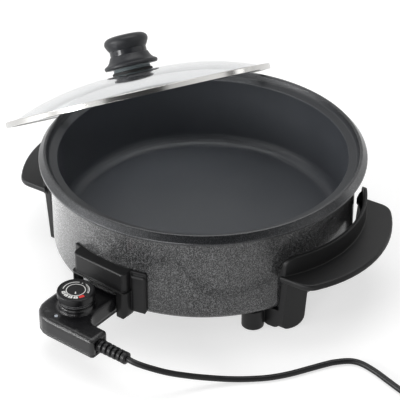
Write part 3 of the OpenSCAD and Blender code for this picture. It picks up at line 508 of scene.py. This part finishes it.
class Finish(Nodes):
    """One material, with a Principled shader and Object coordinates."""

    def __init__(self, name, **plain):
        self.material = bpy.data.materials.new(name)
        self.material.use_nodes = True
        super().__init__(self.material.node_tree)
        self.tree.nodes.clear()
        self.shader = self.tree.nodes.new("ShaderNodeBsdfPrincipled")
        self.end = self.tree.nodes.new("ShaderNodeOutputMaterial")
        self.tree.links.new(self.shader.outputs[0], self.end.inputs[0])
        self.place = self.node("TexCoord", {}, {}, "Object")
        parts = self.node("SeparateXYZ", {}, {"Vector": self.place}, None)
        self.x, self.y, self.z = (Socket(self, parts.outputs[k]) for k in range(3))
        for key, value in plain.items():
            self.put(key.replace("_", " ").title().replace("Ior", "IOR"), value)

    def put(self, name, value):
        """Sets or links an input of the Principled shader."""
        self.feed(self.shader.inputs[name], value)

    def noise(self, scale, detail=3.0, rough=0.55, place=None):
        """Fractal noise, 0 to 1. scale is per metre."""
        return self.node("TexNoise", {}, {"Vector": place or self.place, "Scale": scale,
                                          "Detail": detail, "Roughness": rough})

    def mix(self, factor, a, b):
        """Colour a where factor is 0 and b where it is 1."""
        return self.node("Mix", {"data_type": "RGBA"}, {0: factor, 6: a, 7: b}, 2)

    def relief(self, height, depth, soften=0.0):
        """Bump from a height of 0 to 1 that stands depth metres high. soften rounds the
        solid's own sharp edges to that radius in metres."""
        values = {"Height": height, "Distance": depth, "Strength": 1.0}
        if soften:
            values["Normal"] = self.node("Bevel", {"samples": EDGE_SAMPLES},
                                         {"Radius": soften})
        self.put("Normal", self.node("Bump", {}, values))


def use(finish, *names):
    """Gives a finish to frame nodes or new pieces, as their only material."""
    for name in names:
        o = NODES[name] if isinstance(name, str) else name
        o.data.materials.clear()
        o.data.materials.append(finish.material)


print("finishes ready")

# %% [markdown]
# ## Hammered enamel
# The housing is sprayed with a grey hammer finish. Its surface is a skin of small pebbles,
# about 2 mm across, with metal flake in it. The base colour paints the light: pale on the
# ridge tops, a painted highlight over the flake's own tone, and near black in the pits,
# painted shade.
# The ridges wind like worms. A smooth noise crosses its middle value along just such winding
# lines, so the distance from that value, taken through a step, draws them. A finer noise
# scatters flake over the ridges, and both also lift the surface. A clear coat lies over the
# metal and gives the wall its broad, soft highlight.

# %% Hammered enamel
# Painted shade for the pits, and the flake's tone with a painted highlight for the ridges
PIT_SHADE_GREY, FLAKE_AND_HIGHLIGHT_GREY = (0.013, 0.0135, 0.0145), (0.245, 0.247, 0.251)
HAMMER_HEIGHT = 0.0005

enamel = Finish("hammered_enamel", metallic=0.75, coat_weight=1.0, coat_roughness=0.16)
cells = enamel.noise(560.0, 0.8, 0.45)
worm = 1.0 - (cells - 0.5).math("ABSOLUTE").step(0.012, 0.088)
flake = enamel.noise(1500.0, 2.0).step(0.40, 0.66)
tone = enamel.noise(30.0, 3.0)
# Painted highlight on the ridges and painted shade in the pits, put into the base colour
light = worm * (0.62 + 0.30 * flake) + 0.14 * tone
enamel.put("Base Color", enamel.mix(light, PIT_SHADE_GREY, FLAKE_AND_HIGHLIGHT_GREY))
enamel.put("Roughness", 0.42 - 0.16 * worm)
enamel.relief(worm * 0.85 + flake * 0.15, HAMMER_HEIGHT)
use(enamel, "outer_housing")
print("enamel", len(enamel.tree.nodes), "nodes")

# %% [markdown]
# ## Non-stick coating
# The pan's inside is a smooth charcoal coating with a soft sheen, a little darker on the lid
# ledge and the lip above it. On the outside flange the same coating is sprayed thinly over
# bare casting, so it shows a faint blue-grey speckle there and shines like lacquered metal.
# Distance from the pan's axis tells these zones apart.

# %% Non-stick coating
LEDGE_STARTS, FLANGE_STARTS = (0.1765, 0.1785), (0.1880, 0.1900)    # m from the axis

coating = Finish("nonstick", coat_roughness=0.25)
from_axis = (coating.x * coating.x + coating.y * coating.y) ** 0.5
outside = from_axis.step(*FLANGE_STARTS)
ledge = from_axis.step(*LEDGE_STARTS)
speck = coating.noise(1100.0, 3.0).step(0.45, 0.66)
cloud = coating.noise(18.0, 3.0)
inner = coating.mix(cloud, (0.040, 0.044, 0.051), (0.052, 0.056, 0.064))
lip = coating.mix(cloud, (0.018, 0.020, 0.023), (0.024, 0.026, 0.030))
outer = coating.mix(speck, (0.009, 0.010, 0.012), (0.070, 0.073, 0.079))
coating.put("Base Color", coating.mix(outside, coating.mix(ledge, inner, lip), outer))
coating.put("Metallic", 0.65 * outside)
coating.put("Coat Weight", 0.9 * outside)
coating.put("Roughness", 0.36 + 0.10 * cloud + 0.04 * speck)
coating.relief(coating.noise(700.0, 3.0), 0.00006, soften=0.0012)
use(coating, "inner_pan")
print("coating", len(coating.tree.nodes), "nodes")

# %% [markdown]
# ## Moulded plastics and rubber
# Handles, guard and knob are satin phenolic: near black, with the fine grain of the mould.
# The thermostat is polished, and its well rounded edges carry a highlight. The cord and its
# boot are matt rubber. One function makes them all from a colour, a gloss and a grain.

# %% Plastics and rubber


def moulded(name, colour, rough, grain_size=1500.0, depth=0.00003, soften=0.0012, **more):
    """A moulding: tone within 18% of the colour, gloss within 0.05 of rough, a fine grain,
    and softened edges."""
    f = Finish(name, **more)
    dark = tuple(c * 0.82 for c in colour)
    pale = tuple(c * 1.18 for c in colour)
    f.put("Base Color", f.mix(f.noise(35.0, 4.0), dark, pale))
    f.put("Roughness", rough - 0.05 + 0.10 * f.noise(120.0, 3.0))
    f.relief(f.noise(grain_size, 2.0), depth, soften)
    return f


satin = moulded("satin_phenolic", (0.013, 0.013, 0.0135), 0.40, 1400.0, 0.00005,
                soften=0.0022, specular_ior_level=0.34)
use(satin, "handle_right", "handle_left", "socket_guard")
ring_finish = moulded("ring_phenolic", (0.15, 0.18, 0.19), 0.22)
use(ring_finish, "knob_base")
gloss = moulded("gloss_black", (0.007, 0.007, 0.008), 0.22, 2200.0, 0.00001, soften=0.0055,
                specular_ior_level=0.62)
use(gloss, "thermostat_cover", "thermostat_base")
jacket = moulded("cord_rubber", (0.009, 0.009, 0.010), 0.42, 1800.0, 0.00004, soften=0.0,
                 specular_ior_level=0.4)
use(jacket, power_cord, relief_boot, plug_skin)
rubber = moulded("black_rubber", (0.012, 0.012, 0.012), 0.7, 900.0, 0.00005, soften=0.0004)
use(rubber, "foot_pads", "knob_gasket", coil_strap)
plate_print = moulded("dial_plate_black", (0.012, 0.012, 0.013), 0.35, soften=0.0)
use(plate_print, "dial_plate")
print("plastics and rubber done")

# %% [markdown]
# ## The knob's neck and the dial's skirt
# Two mouldings aren't the same all over. Fingers polish the knob's neck, so its roughness
# falls between two heights along the lid's leaning axis, which a dot product measures. The
# dial's skirt gets two thin pale lines at two heights: painted highlights of its fine ridges.

# %% Knob and dial
NECK_STARTS, NECK_ENDS = (0.0569, 0.0573), (0.0640, 0.0646)    # m along the lid's axis
# The dial's black, and the pale of the painted highlight lines on the skirt's ridges
DIAL_BLACK, RIDGE_HIGHLIGHT_PALE = (0.006, 0.006, 0.007), (0.30, 0.30, 0.31)
LOWER_RIDGE, UPPER_RIDGE = 0.0622, 0.0643                      # m above the table
RIDGE_HALF, RIDGE_FADES = 0.00022, 0.00042

knob_finish = moulded("knob_phenolic", (0.020, 0.021, 0.024), 0.40, soften=0.0,
                      specular_ior_level=0.4)
lid_axis = LID[:, 2]
up_lid = knob_finish.node("VectorMath", {"operation": "DOT_PRODUCT"}, {
    0: knob_finish.place, 1: lid_axis.tolist()}, "Value") - float(lid_axis @ LID_AT)
neck = up_lid.step(*NECK_STARTS) * (1.0 - up_lid.step(*NECK_ENDS))
knob_finish.put("Roughness", 0.36 + 0.10 * knob_finish.noise(120.0) - 0.24 * neck)
use(knob_finish, knob_skin)

dial_gloss = moulded("dial_black", DIAL_BLACK, 0.30, 2200.0, 0.00001, soften=0.0008,
                     specular_ior_level=0.4)
# Two thin lines painted pale as the highlights of the skirt's ridges
lower, upper = ((dial_gloss.z - height).math("ABSOLUTE").step(RIDGE_HALF, RIDGE_FADES, 1.0, 0.0)
                for height in (LOWER_RIDGE, UPPER_RIDGE))
dial_gloss.put("Base Color", dial_gloss.mix(lower.math("MAXIMUM", upper), DIAL_BLACK,
                                            RIDGE_HIGHLIGHT_PALE))
use(dial_gloss, "dial_knob")
print("neck and skirt done")

# %% [markdown]
# ## Metals and ceramic
# The lid's band is rolled steel with fine lines along its length, so its gloss changes in
# thin stripes. Stretching a noise along two axes and squeezing it on the third draws them.
# Sheet parts and screws under the skillet are plainer. The plate behind the socket is zinc
# plated and duller than steel, and coloured pale: partly the zinc's own colour and partly a
# painted highlight that keeps it bright in the shade under the guard.

# %% Metals and ceramic
STRIPES = (60.0, 60.0, 3000.0)    # per metre, along x, y and z


def steel(name, colour, rough):
    """Metal with fine stripes: noise of the place times STRIPES sets tone and gloss."""
    f = Finish(name, metallic=1.0)
    stretched = f.node("VectorMath", {"operation": "MULTIPLY"}, {0: f.place, 1: STRIPES})
    line = f.noise(1.0, 3.0, place=stretched)
    f.put("Base Color", f.mix(line, tuple(c * 0.9 for c in colour), colour))
    f.put("Roughness", rough - 0.06 + 0.12 * line)
    f.relief(line, 0.00001, soften=0.0003)
    return f


use(steel("band_steel", (0.74, 0.73, 0.71), 0.16), "lid_rim_band")
use(steel("bright_steel", (0.72, 0.72, 0.73), 0.25), "body_screws", "handle_screws",
    "guard_screws", "knob_screw", "probe_rod", "case_screws", "plug_pins")
use(steel("dull_steel", (0.05, 0.05, 0.052), 0.34), "steam_vent")
use(steel("sheet_steel", (0.55, 0.55, 0.56), 0.38), "heat_shield", "shield_spacers",
    "nut_plates", "knob_washer", "thermostat_frame", "cord_clamp")
# Pale zinc: partly the plate's own colour, partly a painted highlight against the guard's shade
use(moulded("pale_zinc_painted_highlight", (0.72, 0.72, 0.73), 0.45, 900.0, soften=0.0004, metallic=0.3),
    "terminal_plate")
use(steel("element_sheath", (0.24, 0.20, 0.17), 0.45), "heating_element")
use(steel("brass", (0.70, 0.52, 0.24), 0.3), "socket_terminals", "contact_leaves",
    "dial_shaft")
use(moulded("ceramic", (0.72, 0.70, 0.64), 0.3, soften=0.0004), "pin_insulators")
print("metals and ceramic done")

# %% [markdown]
# ## Glass, lens and lamp
# The lid is clear tempered glass with a faint grey-green body. A pane mirrors its
# surroundings more when it is seen at a slant, so a bright sheen is mixed in by the slant: 3%
# face on and 80% edge on. Thin glass casts hardly any shadow, and light bent through it would
# take very many samples to settle, so rays to the lamps pass nearly freely instead. The
# thermostat's window is a frosted lens, with the glass of a small neon lamp behind it.

# %% Glass, lens and lamp
SHEEN_FACE_ON, SHEEN_EDGE_ON, SHADOW_PASSES = 0.03, 0.80, 0.85

glass = Finish("clear_glass", transmission_weight=1.0, ior=1.45)
glass.put("Base Color", glass.mix(glass.noise(6.0), (0.93, 0.95, 0.95), (0.96, 0.97, 0.97)))
glass.put("Roughness", 0.004 + 0.01 * glass.noise(40.0))
sheen = glass.node("BsdfPrincipled", {}, {"Base Color": (0.90, 0.91, 0.92), "Metallic": 1.0,
                                          "Roughness": 0.09})
slant = glass.node("LayerWeight", {}, {"Blend": 0.5}, "Facing")
shadow_ray = glass.node("LightPath", {}, {}, "Is Shadow Ray")
glazed = glass.node("MixShader", {}, {0: slant.step(0.15, 0.62, SHEEN_FACE_ON, SHEEN_EDGE_ON),
                                      1: Socket(glass, glass.shader.outputs[0]), 2: sheen})
lit = glass.node("MixShader", {}, {0: shadow_ray * SHADOW_PASSES, 1: glazed,
                                   2: glass.node("BsdfTransparent", {}, {})})
glass.feed(glass.end.inputs[0], lit)
use(glass, glass_shell)


def small_glass(name, dark, pale, rough, uneven, grain, **more):
    """Frosted glass: noise of the given grain mixes two tints, and a finer one adds up to
    uneven to the roughness."""
    f = Finish(name, **more)
    f.put("Base Color", f.mix(f.noise(grain), dark, pale))
    f.put("Roughness", rough + uneven * f.noise(500.0))
    return f


use(small_glass("indicator_lens", (0.62, 0.68, 0.76), (0.80, 0.85, 0.92), 0.12, 0.08, 300.0,
                transmission_weight=0.35, ior=1.49), "indicator_lens")
use(small_glass("neon_glass", (0.8, 0.45, 0.25), (0.9, 0.6, 0.35), 0.1, 0.05, 400.0,
                transmission_weight=0.6, ior=1.45), "pilot_lamp")
print("glass, lens and lamp done")

# %% [markdown]
# ## Print on the dial
# The dial carries a plain scale: a white arc at the upper left with a start mark, a thin arc
# with eight ticks at the right, four white boxes with the steps 1 to 4, a red box for the
# warm setting, a white ring round the centre and a pointer. Each is a flat patch a few
# hundredths of a millimetre above the plate: an arc is a grid of three radii by many angles.
# Angles run anticlockwise from +X, which is to the right as seen from the front.

# %% Dial print
PRINT_Z = DIAL_TOP - 0.00016
FIGURE_Z = PRINT_Z + 0.00006
BOX_IN, BOX_OUT, BOX_WIDE, BOX_CORNER = 12.2, 16.5, 20.5, 1.5    # mm, mm, degrees, degrees
FIGURE_R, FIGURE_HIGH = 14.3, 4.0                                # mm

paint_white = moulded("print_white", (0.78, 0.78, 0.76), 0.5, soften=0.0)
paint_red = moulded("print_red", (0.72, 0.035, 0.030), 0.45, soften=0.0)
paint_dark = moulded("print_dark", (0.02, 0.02, 0.02), 0.5, soften=0.0)


def print_piece(name, finish, points, faces):
    """A flat patch that turns with the dial."""
    use(finish, make_piece(name, points, faces, "dial", slot="dial_plastic", smooth=False))


def arc_patch(name, finish, r0, r1, a0, a1, count, corner=0.0):
    """Flat ring sector between radii r0 and r1 mm and angles a0 and a1 degrees. corner in
    degrees rounds the ends: it draws the inner and outer edges in by corner (2v - 1)^2, where
    v runs from 0 to 1 across the sector."""
    u = np.linspace(0, 1, count)[:, None]
    v = np.array([0.0, 0.5, 1.0])[None, :]
    pull = corner * (2 * np.abs(v - 0.5)) ** 2
    a = np.radians(a0 + pull + (a1 - a0 - 2 * pull) * u)
    r = (r0 + (r1 - r0) * v + 0 * u) * MM
    points = np.stack([DIAL_AT[0] + r * np.cos(a), DIAL_AT[1] + r * np.sin(a),
                       PRINT_Z + 0 * a], 2)
    faces = [tuple(f[::-1]) for f in grid_faces(count, 3, round_cols=False)]
    print_piece(name, finish, points, faces)


def digit(name, text, finish, radius, angle, size):
    """A figure as a flat mesh, its foot towards the dial's centre: turned to its angle and
    moved out by radius mm."""
    curve = bpy.data.curves.new(name, "FONT")
    curve.body, curve.size = text, size * MM
    curve.align_x, curve.align_y = "CENTER", "CENTER"
    curve.resolution_u = 3
    holder = bpy.data.objects.new(name + "_text", curve)
    bpy.context.scene.collection.objects.link(holder)
    bpy.context.view_layer.update()
    flat = bpy.data.meshes.new_from_object(holder)
    bpy.data.objects.remove(holder)
    points = np.zeros(len(flat.vertices) * 3)
    flat.vertices.foreach_get("co", points)
    points = points.reshape(-1, 3) @ turn_z(angle - 90).T
    out = np.array([math.cos(math.radians(angle)), math.sin(math.radians(angle)), 0])
    points += DIAL_AT + out * radius * MM
    points[:, 2] = FIGURE_Z
    print_piece(name, finish, points, [tuple(p.vertices) for p in flat.polygons])


arc_patch("dial_arc", paint_white, 14.5, 15.6, 77, 171, 60)
arc_patch("dial_start_mark", paint_white, 13.6, 15.4, 59, 64, 4)
arc_patch("dial_side_arc", paint_white, 15.1, 16.0, -24, 47, 40)
for k in range(8):
    arc_patch(f"dial_tick_{k}", paint_white, 13.6, 14.7, -22 + 8 * k, -18.5 + 8 * k, 3)
arc_patch("dial_ring", paint_white, 10.5, 11.5, 0, 360, 90)
for mark, start in (("4", 189), ("3", 213), ("2", 238), ("1", 263)):
    arc_patch(f"dial_box_{mark}", paint_white, BOX_IN, BOX_OUT, start, start + BOX_WIDE, 12,
              BOX_CORNER)
    digit(f"dial_digit_{mark}", mark, paint_dark, FIGURE_R, start + BOX_WIDE / 2, FIGURE_HIGH)
arc_patch("dial_box_warm", paint_red, BOX_IN, BOX_OUT, 287, 314, 16, BOX_CORNER)
arc_patch("dial_pointer", paint_white, 3.2, 7.4, 263, 277, 6)
print("dial printed")

# %% [markdown]
# ## Floor
# The skillet stands on a white studio floor. The floor glows for rays from the camera and for
# those that glass sends on, so that it is white without lighting the skillet more, and it
# keeps the skillet's shadow. Mirror rays see its glow too, with a painted pool of light beside
# the lid's left end and a painted shadow at the right, where the handle would shade it.

# %% Floor
FLOOR_HALF = 6.0
# Glow levels, with a painted pool of light at the left and a painted shadow at the right for
# mirror rays
GLOW, MIRROR_GLOW, PAINTED_LIGHT_LEFT, PAINTED_SHADOW_RIGHT = 0.62, 0.46, 0.70, 0.36

x0, x1 = -FLOOR_HALF, FLOOR_HALF
floor_mesh = bpy.data.meshes.new("floor")
floor_mesh.from_pydata([(x0, x0, 0), (x1, x0, 0), (x1, x1, 0), (x0, x1, 0)], [],
                       [(0, 1, 2, 3)])
floor = bpy.data.objects.new("floor", floor_mesh)
bpy.context.scene.collection.objects.link(floor)

floor_finish = Finish("floor", roughness=0.9)
floor_finish.put("Base Color", floor_finish.mix(floor_finish.noise(2.0), (0.50, 0.50, 0.50),
                                                (0.52, 0.52, 0.52)))
floor_finish.put("Emission Color", (1.0, 1.0, 1.0))
ray = floor_finish.node("LightPath", {}, {}, None)
camera_ray, glossy_ray, glass_ray = (Socket(floor_finish, ray.outputs[f"Is {kind} Ray"])
                                     for kind in ("Camera", "Glossy", "Transmission"))
# Painted light left of the pan and painted shadow under the right handle, seen only by mirror
# rays
painted_light_left = floor_finish.x.step(-0.32, -0.14, 1.0, 0.0) * (
    floor_finish.y.step(-0.22, -0.08) * floor_finish.y.step(0.10, 0.22, 1.0, 0.0))
painted_shadow_right = floor_finish.x.step(0.15, 0.22) * floor_finish.y.step(-0.02, 0.10, 1.0, 0.0)
mirrored_floor = MIRROR_GLOW + PAINTED_LIGHT_LEFT * painted_light_left - PAINTED_SHADOW_RIGHT * painted_shadow_right
floor_finish.put("Emission Strength", GLOW * camera_ray + mirrored_floor * glossy_ray
                 + GLOW * glass_ray)
use(floor_finish, floor)
print("floor", 2 * FLOOR_HALF, "m wide")

# %% [markdown]
# ## Lamps
# Black plastic shows nothing but reflections, so the lamps are wide panels: one overhead for
# the tops and the rim, a strong strip at the left and a weak one at the right for the wall,
# and a fill in front. A lamp's power is the light it sends out in watts, spread over its panel.

# %% Lamps
# Name, place and aim in metres, size in metres, power in watts
LAMPS = [("overhead", (0.0, 0.35, 1.6), (0, 0, 0.1), (1.6, 1.0), 13.0),
         ("left_strip", (-1.75, -0.6, 0.55), (0, 0, 0.1), (1.2, 0.40), 22.0),
         ("right_strip", (1.45, 0.5, 0.6), (0.1, 0, 0.1), (0.25, 1.1), 1.2),
         ("front_fill", (-0.9, -2.1, 0.55), (0, 0, 0.1), (1.2, 0.4), 9.0)]


def panel(name, at, aim, size, power):
    """A rectangular area lamp at a point, facing another. It shines along its own -z, so its
    axes are side = way x up, side x way, and -way."""
    data = bpy.data.lights.new(name, "AREA")
    data.shape, data.size, data.size_y, data.energy = "RECTANGLE", size[0], size[1], power
    lamp = bpy.data.objects.new(name, data)
    bpy.context.scene.collection.objects.link(lamp)
    lamp.location = at
    way = np.array(aim, float) - np.array(at, float)
    way /= np.linalg.norm(way)
    side = np.cross(way, [0, 0, 1.0])
    side /= np.linalg.norm(side)
    axes = np.stack([side, np.cross(side, way), -way], axis=1)
    lamp.rotation_euler = Matrix(axes.tolist()).to_euler()


for lamp_row in LAMPS:
    panel(*lamp_row)
print(len(LAMPS), "lamps,", sum(row[-1] for row in LAMPS), "W")

# %% [markdown]
# ## The studio round it
# The world adds an even grey light, a little stronger from the left. Rays from the camera and
# through glass see plain white. Mirror rays see a studio: dark in front, pale walls at the
# left, right and back, and a ceiling panel, with a dark bar across the back wall. These are
# what the band, the rim and the gloss on the plastics show. A direction's east, north and up
# are the parts of a unit vector, so an up of 0.5 is 30 degrees above the horizon.

# %% World
WALL_BRIGHT, BAR_DARK = 0.80, 0.75

world = bpy.data.worlds.new("studio")
bpy.context.scene.world = world
world.use_nodes = True
sky = Nodes(world.node_tree)
ray = sky.node("LightPath", {}, {}, None)
shown = Socket(sky, ray.outputs["Is Camera Ray"]).math(
    "MAXIMUM", Socket(sky, ray.outputs["Is Transmission Ray"]))
mirrored = Socket(sky, ray.outputs["Is Glossy Ray"])
toward = sky.node("SeparateXYZ", {}, {"Vector": sky.node("TexCoord", {}, {}, "Generated")},
                  None)
east, north, up = (Socket(sky, toward.outputs[k]) for k in range(3))
soft_light = east.step(-0.7, 0.9, 0.48, 0.24)
dark_front = north.step(-0.60, -0.10, 0.05, 0.16)
left_wall = east.step(-0.50, -0.38, 1.0, 0.0) * up.step(0.70, 0.82, 1.0, 0.0)
right_wall = east.step(0.36, 0.48) * north.step(-0.02, 0.06, 1.0, 0.0)
back_wall = north.step(0.25, 0.50)
low = up.step(0.45, 0.75, 1.0, 0.0)
ceiling = (up.step(0.40, 0.55) * north.step(0.30, 0.45) * east.step(-0.03, 0.06)
           * east.step(0.38, 0.48, 1.0, 0.0))
dark_bar = up.step(0.20, 0.26) * up.step(0.46, 0.52, 1.0, 0.0) * north.step(0.72, 0.80)
walls = left_wall.math("MAXIMUM", low * right_wall.math("MAXIMUM", back_wall))
walls = walls.math("MAXIMUM", ceiling) * (1.0 - BAR_DARK * dark_bar)
around = soft_light * (1.0 - mirrored) + (dark_front + WALL_BRIGHT * walls) * mirrored
background = world.node_tree.nodes["Background"]
sky.feed(background.inputs["Color"], (1.0, 1.0, 1.0))
sky.feed(background.inputs["Strength"], around + shown * (1.0 - around))
bpy.context.scene.view_settings.view_transform = "Standard"
print("world", len(sky.tree.nodes), "nodes")
